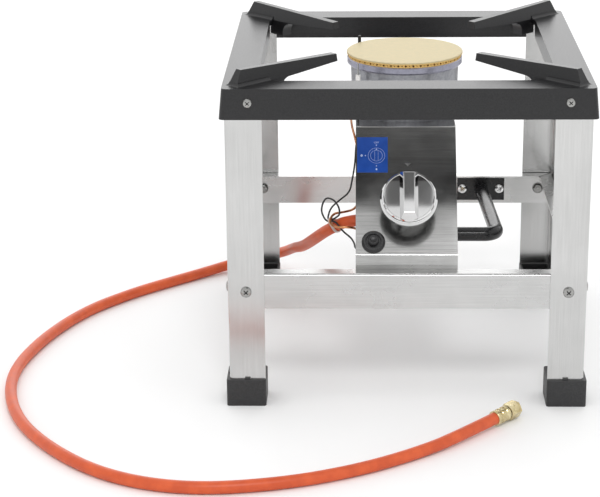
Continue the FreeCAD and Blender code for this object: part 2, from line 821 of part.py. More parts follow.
pipe_end = injector_low - 0.2
pipe_nut = hexagon(V(0, 0, boss_low - pipe_nut_length), UP, pipe_nut_hex, pipe_nut_length)
pipe_nut = pipe_nut.cut(rod(V(0, 0, pipe_end), UP, injector_radius, pipe_nut_length))
pipe_nut = pipe_nut.cut(rod(V(0, 0, boss_low - pipe_nut_length), UP, pipe_radius, pipe_nut_length))

tap_port = panel_point(tap_x, tap_down, -tap_port_level)
outlet_face = tap_port + upslope * (tap_radius + 2)
outlet_nut = hexagon(outlet_face, upslope, pipe_nut_hex, pipe_nut_length)
outlet_nut = outlet_nut.cut(rod(outlet_face, upslope, pipe_radius, pipe_nut_length))
save("pipe_nuts", Part.makeCompound([pipe_nut, outlet_nut]))

rise = (pipe_level - 4 - outlet_face.z) / upslope.z
pipe_points = [
    outlet_face,
    outlet_face + upslope * rise,
    V(0, 0, pipe_level),
    V(0, 0, pipe_end),
]
pipe_radii = [pipe_bend_radius, pipe_bend_radius]
pipe, pipe_length = tube(pipe_points, pipe_radii, pipe_radius)
save("gas_pipe", pipe)


# Tap behind the panel: bonnet, body, plug, spindle, pin and magnet unit
bonnet_low = -panel_sheet - bonnet_depth
tap_low = bonnet_low - tap_depth
plug_top = bonnet_low - 1
plug_low = plug_top - plug_length
bonnet = rod(V(0, 0, bonnet_low), UP, bonnet_radius, bonnet_depth)
bonnet = bonnet.fuse(block(-17, 17, -7, 7, -panel_sheet - 3, -panel_sheet))
bonnet = bonnet.cut(rod(V(0, 0, bonnet_low), UP, spindle_radius + spindle_clearance, bonnet_depth))
save("tap_bonnet", on_panel(bonnet, tap_x, tap_down))

tap_body = rod(V(0, 0, tap_low), UP, tap_radius, tap_depth)
inlet_boss = rod(V(0, 0, -tap_port_level), -ACROSS, 7.5, tap_radius + 2)
outlet_boss = rod(V(0, 0, -tap_port_level), BACK, 7.5, tap_radius + 2)
tap_body = tap_body.fuse(inlet_boss).fuse(outlet_boss)
seat = revolve([
    (0, bonnet_low), (plug_wide_radius + plug_clearance, bonnet_low),
    (plug_wide_radius + plug_clearance, plug_top), (plug_narrow_radius + plug_clearance, plug_low),
    (pin_radius + 0.6, plug_low - 0.5), (pin_radius + 0.6, tap_low), (0, tap_low),
])
tap_body = tap_body.cut(seat)
tap_body = tap_body.cut(rod(V(0, 0, -tap_port_level), -ACROSS, port_bore_radius, 2 * tap_radius))
tap_body = tap_body.cut(rod(V(0, 0, -tap_port_level), BACK, port_bore_radius, 2 * tap_radius))
save("tap_body", on_panel(tap_body, tap_x, tap_down))

plug = revolve([
    (0, plug_low), (plug_narrow_radius, plug_low), (plug_wide_radius, plug_top), (0, plug_top),
])
slot_low = plug_top - tang_depth - push_travel - 0.5
plug = plug.cut(block(-6, 6, -tang_width / 2 - plug_clearance, tang_width / 2 + plug_clearance,
                      slot_low, plug_top))
plug = plug.cut(rod(V(0, 0, plug_low), UP, pin_radius + plug_clearance, plug_length))
plug = plug.cut(rod(V(0, 0, -tap_port_level), -ACROSS, port_bore_radius, tap_radius))
save("tap_plug", on_panel(plug, tap_x, tap_down))

shaft_low = plug_top + push_travel + 0.5
tang_low = plug_top - tang_depth
socket_low = knob_face - knob_socket
spindle_top = knob_face - knob_disc / 2
spindle = rod(V(0, 0, shaft_low), UP, spindle_radius, spindle_top - shaft_low)
spindle = spindle.fuse(block(-tang_half, tang_half, -tang_width / 2, tang_width / 2, tang_low, shaft_low))
flat = block(-spindle_radius, spindle_radius, spindle_radius * 0.6, spindle_radius, socket_low, spindle_top)
save("tap_spindle", on_panel(spindle.cut(flat), tap_x, tap_down))

pin_low = tap_low - pin_reach
pin = rod(V(0, 0, pin_low), UP, pin_radius, tang_low - pin_low)
save("tap_pin", on_panel(pin, tap_x, tap_down))

magnet_low = tap_low - magnet_length
magnet = rod(V(0, 0, magnet_low), UP, magnet_radius, magnet_length)
magnet = magnet.cut(rod(V(0, 0, tap_low - pin_reach - push_travel - 2), UP, magnet_bore_radius,
                        pin_reach + push_travel + 2))
save("magnet_unit", on_panel(magnet, tap_x, tap_down))

magnet_nut_length = 7.0
magnet_nut = hexagon(V(0, 0, magnet_low - magnet_nut_length), UP, 10.0, magnet_nut_length)
magnet_nut = magnet_nut.cut(rod(V(0, 0, magnet_low - magnet_nut_length), UP, capillary_radius,
                                magnet_nut_length))
save("thermocouple_nut", on_panel(magnet_nut, tap_x, tap_down))


# Knob: flared hub, skirted disc and a grip bar with sloping ends
def control_knob():
    disc_low = knob_face - knob_disc
    groove = 0.8
    rim_top = knob_face + 0.7
    body = revolve([
        (0, knob_clear), (knob_hub_radius, knob_clear), (knob_hub_radius + 0.6, knob_clear + 8),
        (knob_hub_flare, disc_low - knob_skirt), (knob_skirt_radius, disc_low - knob_skirt),
        (knob_skirt_radius, disc_low), (knob_radius, disc_low + groove),
        (knob_radius, disc_low + 3.2), (knob_radius - groove, disc_low + 3.8),
        (knob_radius - groove, disc_low + 4.2), (knob_radius, disc_low + 4.8),
        (knob_radius, knob_face - 0.4), (knob_radius - 0.8, rim_top), (knob_radius - 1.8, rim_top),
        (knob_radius - 2.6, knob_face), (0, knob_face),
    ])
    reach = knob_radius - 0.9
    high = knob_face + grip_height
    low = knob_face - 2
    side = prism(
        [V(-grip_root, -reach, low), V(-grip_root, reach, low), V(-grip_root, reach, knob_face),
         V(-grip_root, grip_length / 2, high), V(-grip_root, -grip_length / 2, high),
         V(-grip_root, -reach, knob_face)],
        V(2 * grip_root, 0, 0),
    )
    section = prism(
        [V(-grip_root / 2, -reach, low), V(grip_root / 2, -reach, low), V(grip_root / 2, -reach, knob_face),
         V(grip_crest / 2, -reach, high), V(-grip_crest / 2, -reach, high),
         V(-grip_root / 2, -reach, knob_face)],
        V(0, 2 * reach, 0),
    )
    grip = side.common(section).common(rod(V(0, 0, low), UP, reach, high))
    crest = [
        e for e in grip.Edges
        if all(abs(v.Z - high) < 0.01 for v in e.Vertexes)
    ]
    grip = grip.makeFillet(1.2, crest)
    body = body.fuse(grip)
    hollow = rod(V(0, 0, knob_clear), UP, knob_hub_radius - knob_wall, knob_face - knob_clear - knob_disc)
    hollow = hollow.cut(rod(V(0, 0, knob_clear), UP, spindle_radius + knob_wall, knob_face))
    socket = rod(V(0, 0, 0), UP, spindle_radius, spindle_top)
    socket = socket.cut(flat)
    return body.cut(hollow).cut(socket)


save("control_knob", on_panel(control_knob(), tap_x, tap_down))


# Push igniter: housing with a stepped bezel, ring nut and button
bezel = revolve([
    (0, -panel_sheet - igniter_body_depth), (igniter_body_radius, -panel_sheet - igniter_body_depth),
    (igniter_body_radius, 0), (igniter_bezel_radius, 0), (igniter_bezel_radius, 1.4),
    (igniter_bezel_radius - 0.8, 2.2), (igniter_body_radius, igniter_bezel_height),
    (8.6, igniter_bezel_height), (8.0, 2.4), (0, 2.4),
])
button_low = -igniter_button_root
well = igniter_button_radius + button_clearance
housing = bezel.cut(rod(V(0, 0, button_low - igniter_travel - 1), UP, well, 2 * igniter_body_depth))
terminal = rod(V(0, 0, -panel_sheet - igniter_body_depth - igniter_terminal), UP, 2.0, igniter_terminal)
housing = housing.fuse(terminal)
save("igniter_housing", on_panel(housing, igniter_x, igniter_down))

ring_nut = hexagon(V(0, 0, -panel_sheet - 4.5), UP, 26.0, 4.5)
ring_nut = ring_nut.cut(rod(V(0, 0, -panel_sheet - 5), UP, igniter_body_radius, 6))
save("igniter_nut", on_panel(ring_nut, igniter_x, igniter_down))

rise_top = igniter_button_rise
button = revolve([
    (0, button_low), (igniter_button_radius, button_low), (igniter_button_radius, rise_top - 1.2),
    (igniter_button_radius - 0.4, rise_top - 0.4), (igniter_button_radius - 1.2, rise_top),
    (3.6, rise_top), (3.0, rise_top - 0.6), (0, rise_top - 0.8),
])
save("igniter_button", on_panel(button, igniter_x, igniter_down))


# Electrode and thermocouple standing in the cup's ears
ear_top = base + ear_height + ear_thickness


def standing(place, z):
    return V(place.x, place.y, z)


ceramic = rod(standing(electrode_place, ceramic_bottom), UP, ceramic_radius, ceramic_top - ceramic_bottom)
ceramic = ceramic.fuse(rod(standing(electrode_place, ear_top), UP, holder_radius, holder_height))
ceramic = ceramic.cut(rod(standing(electrode_place, ceramic_bottom), UP, rod_radius,
                          ceramic_top - ceramic_bottom))
save("electrode_ceramic", ceramic)
electrode_tail = ceramic_bottom - 5
spark_rod = rod(standing(electrode_place, electrode_tail), UP, rod_radius, rod_top - electrode_tail)
save("electrode_rod", spark_rod)
probe = rod(standing(thermocouple_place, probe_bottom), UP, probe_radius, probe_top - probe_bottom)
probe = probe.fuse(rod(standing(thermocouple_place, ear_top), UP, holder_radius, holder_height))
tip = [e for e in probe.Edges if all(abs(v.Z - probe_top) < 0.01 for v in e.Vertexes)]
save("thermocouple_probe", probe.makeFillet(1.4, tip))


# Arm from the rear rail: bolted plate, bent tube and the saddle under the burner
plate_face = rail_inside - arm_plate_thickness
plate_middle = rail_middle + arm_plate_rise
plate = block(arm_x - arm_plate_width / 2, arm_x + arm_plate_width / 2, plate_face, rail_inside,
              plate_middle - arm_plate_height / 2, plate_middle + arm_plate_height / 2)
for place in arm_holes:
    plate = plate.cut(rod(V(place.x, plate_face, rail_middle), BACK, rail_hole, arm_plate_thickness))
save("arm_plate", plate)

arm_bolts = []
arm_nuts = []
bolt_grip = arm_plate_thickness + steel_sheet + nut_height + screw_tail
for place in arm_holes:
    arm_bolts.append(aim(pan_screw(rail_screw_radius, bolt_grip), V(place.x, plate_face, rail_middle), -BACK))
    arm_nuts.append(aim(flange_nut(rail_screw_radius), V(place.x, leg_inside, rail_middle), BACK))
save("arm_bolts", Part.makeCompound(arm_bolts))
save("arm_nuts", Part.makeCompound(arm_nuts))

saddle_low = panel_underside - saddle_thickness
arm_points = [
    V(arm_x, rail_inside, rail_middle),
    V(arm_elbow_x, arm_turn_y, rail_middle),
    V(arm_post_x, arm_turn_y, rail_middle),
    V(arm_post_x, arm_turn_y, saddle_low),
]
arm_radii = [arm_elbow_radius, arm_post_bend_radius]
arm_outer, arm_length = tube(arm_points, arm_radii, arm_tube_radius)
arm_inner, arm_length = tube(arm_points, arm_radii, arm_tube_radius - arm_tube_wall)
behind_plate = block(arm_x - arm_plate_width / 2, arm_x + arm_plate_width / 2, plate_face, leg_face, rail_bottom,
                     rail_top)
save("support_arm", arm_outer.cut(arm_inner).cut(behind_plate))

saddle = block(-saddle_screw_x - saddle_margin, saddle_screw_x + saddle_margin,
               arm_turn_y - saddle_depth / 2, arm_turn_y + saddle_depth / 2, saddle_low, panel_underside)
saddle = saddle.cut(rod(V(0, 0, saddle_low), UP, boss_radius + 6, saddle_thickness))
saddle_screws = []
for x in (-saddle_screw_x, saddle_screw_x):
    place = V(x, arm_turn_y, saddle_low)
    saddle = saddle.cut(rod(place, UP, saddle_screw_radius + screw_clearance, saddle_thickness))
    grip = saddle_thickness + panel_sheet + cup_floor
    saddle_screws.append(aim(pan_screw(saddle_screw_radius, grip), place, -UP))
save("burner_saddle", saddle)
save("saddle_screws", Part.makeCompound(saddle_screws))


# Hose inlet at the tap
boss_face = tap_port - ACROSS * (tap_radius + 2)
inlet_nut = hexagon(boss_face, -ACROSS, inlet_nut_hex, inlet_nut_length)
inlet_nut = inlet_nut.cut(rod(boss_face, -ACROSS, end_nipple_radius, inlet_nut_length))
save("hose_inlet_nut", inlet_nut)
ferrule_start = boss_face - ACROSS * inlet_nut_length


def crimped_ferrule(length):
    """Sleeve with two crimp grooves, standing from z = 0."""
    r = ferrule_radius
    dip = 0.7
    return revolve([
        (0, 0), (r - 0.8, 0), (r, 0.8), (r, 0.22 * length), (r - dip, 0.26 * length),
        (r - dip, 0.4 * length), (r, 0.44 * length), (r, 0.58 * length), (r - dip, 0.62 * length),
        (r - dip, 0.76 * length), (r, 0.8 * length), (r, length - 0.6), (r - 0.6, length), (0, length),
    ])


inlet_ferrule = aim(crimped_ferrule(inlet_ferrule_length), ferrule_start, -ACROSS)
nipple = rod(boss_face, -ACROSS, end_nipple_radius, inlet_nut_length)
save("hose_inlet_ferrule", inlet_ferrule.fuse(nipple))
hose_start = ferrule_start - ACROSS * inlet_ferrule_length

# Hose: out of the tap, down behind the rear left leg and round the stool on the floor
floor_level = hose_radius + 0.05
hose_route = [
    hose_start,
    hose_start - ACROSS * 26,
    V(-88, -106, 176),
    V(-104, -73, 154),
    V(-113, -27, 133),
    V(-120, 32, 110),
    V(-127, 92, 88),
    V(-132, 150, 68),
    V(-137, 204, 49),
    V(-153, 241, 30),
    V(-185, 258, 17),
    V(-223, 252, 9.5),
    V(-262, 222, floor_level),
    V(-302, 186, floor_level),
    V(-345, 145, floor_level),
    V(-398, 78, floor_level),
    V(-437, -20, floor_level),
    V(-456, -130, floor_level),
    V(-432, -242, floor_level),
    V(-380, -328, floor_level),
    V(-310, -396, floor_level),
    V(-225, -425, floor_level),
    V(-130, -411, floor_level),
    V(-50, -377, floor_level),
    V(20, -328, floor_level),
    V(64, -289, end_height),
    V(94, -255, end_height),
]
save("gas_hose", cord("gas_hose", hose_route, hose_radius))

# Far end: crimped ferrule, nipple and the loose union nut
hose_end = hose_route[-1]
end_way = (hose_end - hose_route[-2]).normalize()
end_ferrule = aim(crimped_ferrule(end_ferrule_length), hose_end, end_way)
nut_start = hose_end + end_way * (end_ferrule_length + end_nut_gap)
collar_start = nut_start + end_way * (end_nut_back + 0.3)
end_nipple = rod(hose_end + end_way * end_ferrule_length, end_way, end_nipple_radius,
                 end_nut_gap + end_nut_back + 0.3)
nose = aim(revolve([(0, 0), (end_collar_radius, 0), (end_collar_radius, 1.5), (end_nipple_radius, 3.5), (0, 3.5)]),
           collar_start, end_way)
end_fitting = end_ferrule.fuse(end_nipple).fuse(nose)
end_fitting = end_fitting.cut(rod(hose_end + end_way * 4, end_way, 2.5, 2 * end_ferrule_length))
save("hose_end_ferrule", end_fitting)
end_nut = hexagon(nut_start, end_way, end_nut_hex, end_nut_length)
end_nut = end_nut.cut(rod(nut_start, end_way, end_nipple_radius + spin_clearance, end_nut_length))
end_nut = end_nut.cut(rod(nut_start + end_way * end_nut_back, end_way, nut_bore_radius, end_nut_length))
end_nut = end_nut.cut(rod(nut_start + end_way * end_nut_back, end_way, nut_relief_radius, nut_relief_length))
print("end nut lowest point", round(end_nut.BoundBox.ZMin, 3))
save("hose_end_nut", end_nut)


# Clear tie round the hose and the spark lead, on the second run of the hose
tie_run = (hose_route[2] - hose_route[1]).normalize()
tie_middle = (hose_route[1] + hose_route[2]) / 2
tie_up = tie_run.cross(UP.cross(tie_run)).normalize()
tie_front = tie_run.cross(tie_up)


def beside_hose(along, turn, reach):
    """A point beside the tied run: along it, round it from the top to the front, and out."""
    angle = math.radians(turn)
    out = tie_up * math.cos(angle) - tie_front * math.sin(angle)
    return tie_middle + tie_run * along + out * reach


def loop_round(big, small, spacing, width):
    """Bar whose outline wraps two circles; the small one lies towards +X."""
    lean = math.acos((big - small) / spacing)
    x = math.cos(lean)
    y = math.sin(lean)
    edges = [
        Part.Arc(V(big * x, big * y, 0), V(-big, 0, 0), V(big * x, -big * y, 0)).toShape(),
        Part.LineSegment(V(big * x, -big * y, 0), V(spacing + small * x, -small * y, 0)).toShape(),
        Part.Arc(V(spacing + small * x, -small * y, 0), V(spacing + small, 0, 0),
                 V(spacing + small * x, small * y, 0)).toShape(),
        Part.LineSegment(V(spacing + small * x, small * y, 0), V(big * x, big * y, 0)).toShape(),
    ]
    return Part.Face(Part.Wire(edges)).extrude(V(0, 0, width))


tie_inner = hose_radius + tie_slack
tie = loop_round(tie_inner + tie_thickness, bundle_radius + tie_thickness, bundle_reach, tie_width)
tie = tie.cut(loop_round(tie_inner, bundle_radius, bundle_reach, tie_width))
tie_start = beside_hose(tie_width / 2, 0, 0)
tie_side = (beside_hose(0, bundle_turn, 1) - tie_middle).normalize()
tie_rotation = FreeCAD.Rotation(tie_side, tie_run.cross(tie_side), tie_run, "ZXY")
tie.Placement = FreeCAD.Placement(tie_start, tie_rotation)
save("cable_tie", tie)

# Capillary of the thermocouple: from the tap round the hose and up to the burner
capillary_end = panel_point(tap_x, tap_down, magnet_low)
capillary_route = [
    capillary_end,
    capillary_end - outward * 28,
    V(-24, -58, 136),
    V(-43, -78, 138),
    V(-47, -104, 154),
    V(-48, -121, 169),
    V(-54, -131, 186),
    V(-67, -134, 188.5),
    V(-79, -132.5, 187.5),
    V(-86, -127, 192),
    V(-81.5, -119, 199.5),
    V(-69, -113.5, 199.5),
    V(-57, -108, 201),
    V(-50, -101, 213),
    V(-50, -91, 234),
    V(-52.5, -76, 256),
    V(-57, -57, 270.5),
    V(-60.5, -33, 276.5),
    V(-62, -6, 280.5),
    V(-62.5, 20, 283),
    V(-61, 37, 286),
    standing(thermocouple_place, probe_bottom - 13),
    standing(thermocouple_place, probe_bottom),
]
save("thermocouple_lead", cord("thermocouple_lead", capillary_route, capillary_radius))

# Spark lead: from the electrode, twice through the tie, to the igniter
igniter_end = panel_point(igniter_x, igniter_down, -panel_sheet - igniter_body_depth - igniter_terminal)
first_turn = bundle_turn - bundle_step / 2
second_turn = bundle_turn + bundle_step / 2
pass_reach = 9.8
pass_lean = 8.0
lead_route = [
    standing(electrode_place, electrode_tail),
    standing(electrode_place, electrode_tail - 17),
    V(-56, -62, 262),
    V(-57, -72, 244),
    V(-60, -81, 228),
    V(-63, -89, 215),
    V(-74, -98, 209),
    V(-85, -104, 201),
    beside_hose(9, first_turn - pass_lean, pass_reach),
    beside_hose(-3, first_turn + pass_lean, pass_reach),
    V(-73.5, -127, 201),
    V(-75, -125, 210),
    V(-81, -122, 217),
    V(-89, -121, 219),
    V(-93, -120, 212),
    V(-95, -114, 200),
    beside_hose(9, second_turn - pass_lean, pass_reach),
    beside_hose(-4, second_turn + pass_lean, pass_reach),
    V(-70, -128, 181),
    V(-61.5, -123, 172.5),
    V(-57.5, -113, 162),
    V(-57, -99, 152),
    V(-46, -98, 140),
    igniter_end - outward * 18,
    igniter_end,
]
save("spark_lead", cord("spark_lead", lead_route, lead_radius))
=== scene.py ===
import math

import bpy
from mathutils import Matrix, Vector


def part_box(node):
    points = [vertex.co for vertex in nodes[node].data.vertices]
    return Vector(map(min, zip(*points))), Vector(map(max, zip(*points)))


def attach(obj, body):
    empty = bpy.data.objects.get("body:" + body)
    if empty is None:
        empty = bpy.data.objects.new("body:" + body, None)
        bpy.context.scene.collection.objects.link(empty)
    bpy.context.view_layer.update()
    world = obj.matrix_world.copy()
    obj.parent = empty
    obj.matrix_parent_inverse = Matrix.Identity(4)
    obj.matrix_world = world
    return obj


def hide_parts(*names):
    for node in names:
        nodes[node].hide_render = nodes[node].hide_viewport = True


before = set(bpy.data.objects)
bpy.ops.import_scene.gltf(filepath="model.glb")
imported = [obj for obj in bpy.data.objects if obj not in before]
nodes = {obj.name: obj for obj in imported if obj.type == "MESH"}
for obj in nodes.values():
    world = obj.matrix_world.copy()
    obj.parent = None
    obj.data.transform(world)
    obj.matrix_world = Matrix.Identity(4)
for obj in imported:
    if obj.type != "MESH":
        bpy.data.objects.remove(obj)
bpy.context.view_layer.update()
scene = bpy.context.scene
collection = scene.collection


# Camera, fitted to the photograph, in metres and degrees
camera_place = (-0.0501, -2.1616, 0.8567)
camera_heading = 1.930
camera_dip = 18.872
camera_roll = -0.602

camera_data = bpy.data.cameras.new("camera")
camera_data.sensor_width = 36.0
camera_data.lens = 114.84
camera_data.clip_end = 50.0
camera = bpy.data.objects.new("camera", camera_data)
heading = Matrix.Rotation(math.radians(camera_heading), 4, "Z")
pitch = Matrix.Rotation(math.radians(90 - camera_dip), 4, "X")
roll = Matrix.Rotation(math.radians(camera_roll), 4, "Z")
camera.matrix_world = Matrix.Translation(camera_place) @ heading @ pitch @ roll
collection.objects.link(camera)
scene.camera = camera


# Materials
def shader(name, color, metallic=0.0, roughness=0.5):
    """A new material and its Principled shader."""
    material = bpy.data.materials.new(name)
    material.use_nodes = True
    surface = material.node_tree.nodes["Principled BSDF"]
    surface.inputs["Base Color"].default_value = (*color, 1.0)
    surface.inputs["Metallic"].default_value = metallic
    surface.inputs["Roughness"].default_value = roughness
    return material, surface


def noise(material, scale, stretch=(1, 1, 1), detail=3.0, roughness=0.55):
    """Noise in object space, finer along the axes with a larger stretch."""
    tree = material.node_tree
    place = tree.nodes.new("ShaderNodeTexCoord")
    mapping = tree.nodes.new("ShaderNodeMapping")
    mapping.inputs["Scale"].default_value = stretch
    texture = tree.nodes.new("ShaderNodeTexNoise")
    texture.inputs["Scale"].default_value = scale
    texture.inputs["Detail"].default_value = detail
    texture.inputs["Roughness"].default_value = roughness
    tree.links.new(place.outputs["Object"], mapping.inputs["Vector"])
    tree.links.new(mapping.outputs["Vector"], texture.inputs["Vector"])
    return texture.outputs["Fac"]


def tint(material, surface, factor, dark, light, low=0.35, high=0.65):
    """Colour from dark to light as the factor goes from low to high."""
    tree = material.node_tree
    ramp = tree.nodes.new("ShaderNodeValToRGB")
    ramp.color_ramp.elements[0].position = low
    ramp.color_ramp.elements[0].color = (*dark, 1.0)
    ramp.color_ramp.elements[1].position = high
    ramp.color_ramp.elements[1].color = (*light, 1.0)
    tree.links.new(factor, ramp.inputs["Fac"])
    tree.links.new(ramp.outputs["Color"], surface.inputs["Base Color"])


def gloss(material, surface, factor, low, high):
    """Roughness from low to high over the middle of the factor's range."""
    tree = material.node_tree
    remap = tree.nodes.new("ShaderNodeMapRange")
    remap.inputs["From Min"].default_value = 0.3
    remap.inputs["From Max"].default_value = 0.7
    remap.inputs["To Min"].default_value = low
    remap.inputs["To Max"].default_value = high
    tree.links.new(factor, remap.inputs["Value"])
    tree.links.new(remap.outputs["Result"], surface.inputs["Roughness"])


def bump(material, surface, factor, strength, distance):
    """Relief that follows the factor."""
    tree = material.node_tree
    node = tree.nodes.new("ShaderNodeBump")
    node.inputs["Strength"].default_value = strength
    node.inputs["Distance"].default_value = distance
    tree.links.new(factor, node.inputs["Height"])
    tree.links.new(node.outputs["Normal"], surface.inputs["Normal"])


def finish_of(name, dark, light, metallic, rough, grain,
              relief=0.1, depth=0.0002, spread=0.05):
    """A material whose colour, gloss and relief follow one grain."""
    material, surface = shader(name, light, metallic, rough)
    factor = noise(material, grain)
    tint(material, surface, factor, dark, light)
    gloss(material, surface, factor, rough - spread, rough + spread)
    bump(material, surface, factor, relief, depth)
    return material


def blend(material, first, second, amount):
    """The first factor with a share of the second mixed in."""
    tree = material.node_tree
    mix = tree.nodes.new("ShaderNodeMix")
    mix.inputs[0].default_value = amount
    tree.links.new(first, mix.inputs[2])
    tree.links.new(second, mix.inputs[3])
    return mix.outputs[0]


def brushed(name, stretch, dark=(0.515, 0.515, 0.51), light=(0.615, 0.615, 0.61), rough=0.21):
    """Sheet steel: hair-fine brushing with soft cloudy patches of handling over it."""
    material, surface = shader(name, light, 1.0, rough)
    hair = noise(material, 3.0, stretch, detail=2.0)
    cloud = noise(material, 14.0, detail=4.0, roughness=0.6)
    tint(material, surface, blend(material, hair, cloud, 0.55), dark, light)
    gloss(material, surface, cloud, rough - 0.03, rough + 0.06)
    bump(material, surface, hair, 0.02, 0.00003)
    return material


def painted_recess_shade(material, surface, dark, light, reach):
    """Painted shade: darker in the hollows that are narrower than the reach."""
    hollow = material.node_tree.nodes.new("ShaderNodeAmbientOcclusion")
    hollow.samples = 8
    hollow.only_local = True
    hollow.inputs["Distance"].default_value = reach
    tint(material, surface, hollow.outputs["AO"], dark, light, 0.55, 0.95)


def height_of(material, low, high):
    """How far up between two heights of the piece, from 0 to 1."""
    tree = material.node_tree
    place = tree.nodes.new("ShaderNodeTexCoord")
    split = tree.nodes.new("ShaderNodeSeparateXYZ")
    remap = tree.nodes.new("ShaderNodeMapRange")
    remap.inputs["From Min"].default_value = low
    remap.inputs["From Max"].default_value = high
    tree.links.new(place.outputs["Object"], split.inputs["Vector"])
    tree.links.new(split.outputs["Z"], remap.inputs["Value"])
    return remap.outputs["Result"]


# Brushing runs along the axis with the small stretch. All the sheet is one steel. The rear rail
# is lighter and the panel darker only to come near the photograph's brightness there.
along_x = (5, 260, 260)
along_y = (260, 5, 260)
along_z = (260, 260, 5)
steel_upright = brushed("steel_upright", along_z)
steel_along_x = brushed("steel_along_x", along_x, rough=0.27)
# Painted light: the rear rail's steel is a lighter copy of the same steel.
steel_rear_painted_light = brushed("steel_rear_painted_light", along_x, (0.60, 0.60, 0.595), (0.70, 0.70, 0.695), 0.25)
steel_along_y = brushed("steel_along_y", along_y, rough=0.27)
# Painted shade: the panel's steel is a darker copy of the same steel.
steel_panel_painted_shade = brushed("steel_panel_painted_shade", along_x, (0.36, 0.36, 0.355), (0.52, 0.52, 0.515), 0.17)

cast = finish_of("cast_iron", (0.005, 0.005, 0.006), (0.013, 0.013, 0.014),
                 metallic=0.0, rough=0.33, grain=700.0, relief=0.14)
cup_cast = finish_of("cup_casting", (0.24, 0.245, 0.265), (0.34, 0.345, 0.37),
                     metallic=0.8, rough=0.36, grain=220.0, relief=0.12, spread=0.06)
alloy = finish_of("light_alloy", (0.30, 0.30, 0.37), (0.38, 0.38, 0.46),
                  metallic=0.8, rough=0.34, grain=260.0, relief=0.08, depth=0.0001, spread=0.06)
pipe_alloy = finish_of("pipe_alloy", (0.55, 0.55, 0.55), (0.68, 0.68, 0.68),
                       metallic=1.0, rough=0.22, grain=120.0, relief=0.05, depth=0.0001)

# The cap is browner below its rounded top edge, which these two depths under the top bound
edge_below = 0.0022
edge_above = 0.0008
cap_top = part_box("burner_cap")[1][2]
cap_brass, cap_surface = shader("cap_brass", (0.54, 0.47, 0.30), 0.40, 0.58)
grain = noise(cap_brass, 170.0, detail=7.0, roughness=0.72)
rise = height_of(cap_brass, cap_top - edge_below, cap_top - edge_above)
tint(cap_brass, cap_surface, blend(cap_brass, rise, grain, 0.38),
     (0.74, 0.49, 0.16), (0.56, 0.495, 0.32), 0.22, 0.86)
gloss(cap_brass, cap_surface, grain, 0.50, 0.66)
bump(cap_brass, cap_surface, grain, 0.18, 0.0003)

tap_brass = finish_of("tap_brass", (0.52, 0.36, 0.14), (0.76, 0.58, 0.28),
                      metallic=1.0, rough=0.24, grain=90.0, relief=0.05, depth=0.0001)
zinc = finish_of("yellow_zinc", (0.50, 0.40, 0.20), (0.78, 0.68, 0.42),
                 metallic=1.0, rough=0.24, grain=140.0, relief=0.05, depth=0.0001)

screw_color = (0.36, 0.36, 0.35)
bright, bright_surface = shader("bright_screw", screw_color, 1.0, 0.28)
# Painted shade: the screws' cross recesses go dark where ambient occlusion is high.
painted_recess_shade(bright, bright_surface, (0.015, 0.015, 0.015), screw_color, 0.0022)
gloss(bright, bright_surface, noise(bright, 300.0), 0.18, 0.30)

chrome = finish_of("knob_chrome", (0.70, 0.70, 0.70), (0.82, 0.82, 0.82),
                   metallic=1.0, rough=0.05, grain=22.0, relief=0.03, depth=0.0001, spread=0.02)
foot_plastic = finish_of("foot_plastic", (0.012, 0.012, 0.013), (0.030, 0.030, 0.031),
                         metallic=0.0, rough=0.50, grain=900.0, relief=0.2, spread=0.08)
black_plastic = finish_of("black_plastic", (0.004, 0.004, 0.005), (0.012, 0.012, 0.013),
                          metallic=0.0, rough=0.30, grain=500.0,
                          relief=0.06, depth=0.0001, spread=0.06)
black_paint = finish_of("black_paint", (0.005, 0.005, 0.006), (0.014, 0.014, 0.015),
                        metallic=0.0, rough=0.24, grain=260.0, spread=0.06)
hose_rubber = finish_of("hose_rubber", (0.58, 0.078, 0.016), (0.68, 0.105, 0.024),
                        metallic=0.0, rough=0.42, grain=60.0, relief=0.04)
lead_black = finish_of("lead_black", (0.008, 0.008, 0.008), (0.022, 0.022, 0.022),
                       metallic=0.0, rough=0.42, grain=700.0)
copper = finish_of("capillary_copper", (0.42, 0.15, 0.06), (0.70, 0.33, 0.16),
                   metallic=1.0, rough=0.28, grain=160.0, relief=0.05, depth=0.0001)
ceramic = finish_of("ceramic", (0.78, 0.77, 0.74), (0.90, 0.89, 0.87),
                    metallic=0.0, rough=0.25, grain=300.0)
label_blue = finish_of("label_blue", (0.005, 0.072, 0.42), (0.008, 0.088, 0.48),
                       metallic=0.0, rough=0.35, grain=120.0, relief=0.03, depth=0.0001)
print_white = finish_of("print_white", (0.42, 0.54, 0.84), (0.56, 0.67, 0.92),
                        metallic=0.0, rough=0.40, grain=400.0)
mark_grey = finish_of("mark_grey", (0.13, 0.13, 0.13), (0.20, 0.20, 0.20),
                      metallic=0.0, rough=0.45, grain=400.0)
tie_clear, tie_surface = shader("tie_clear", (0.78, 0.72, 0.70), 0.0, 0.30)
tie_surface.inputs["Transmission Weight"].default_value = 0.35
tint(tie_clear, tie_surface, noise(tie_clear, 500.0), (0.66, 0.54, 0.50), (0.84, 0.74, 0.70))

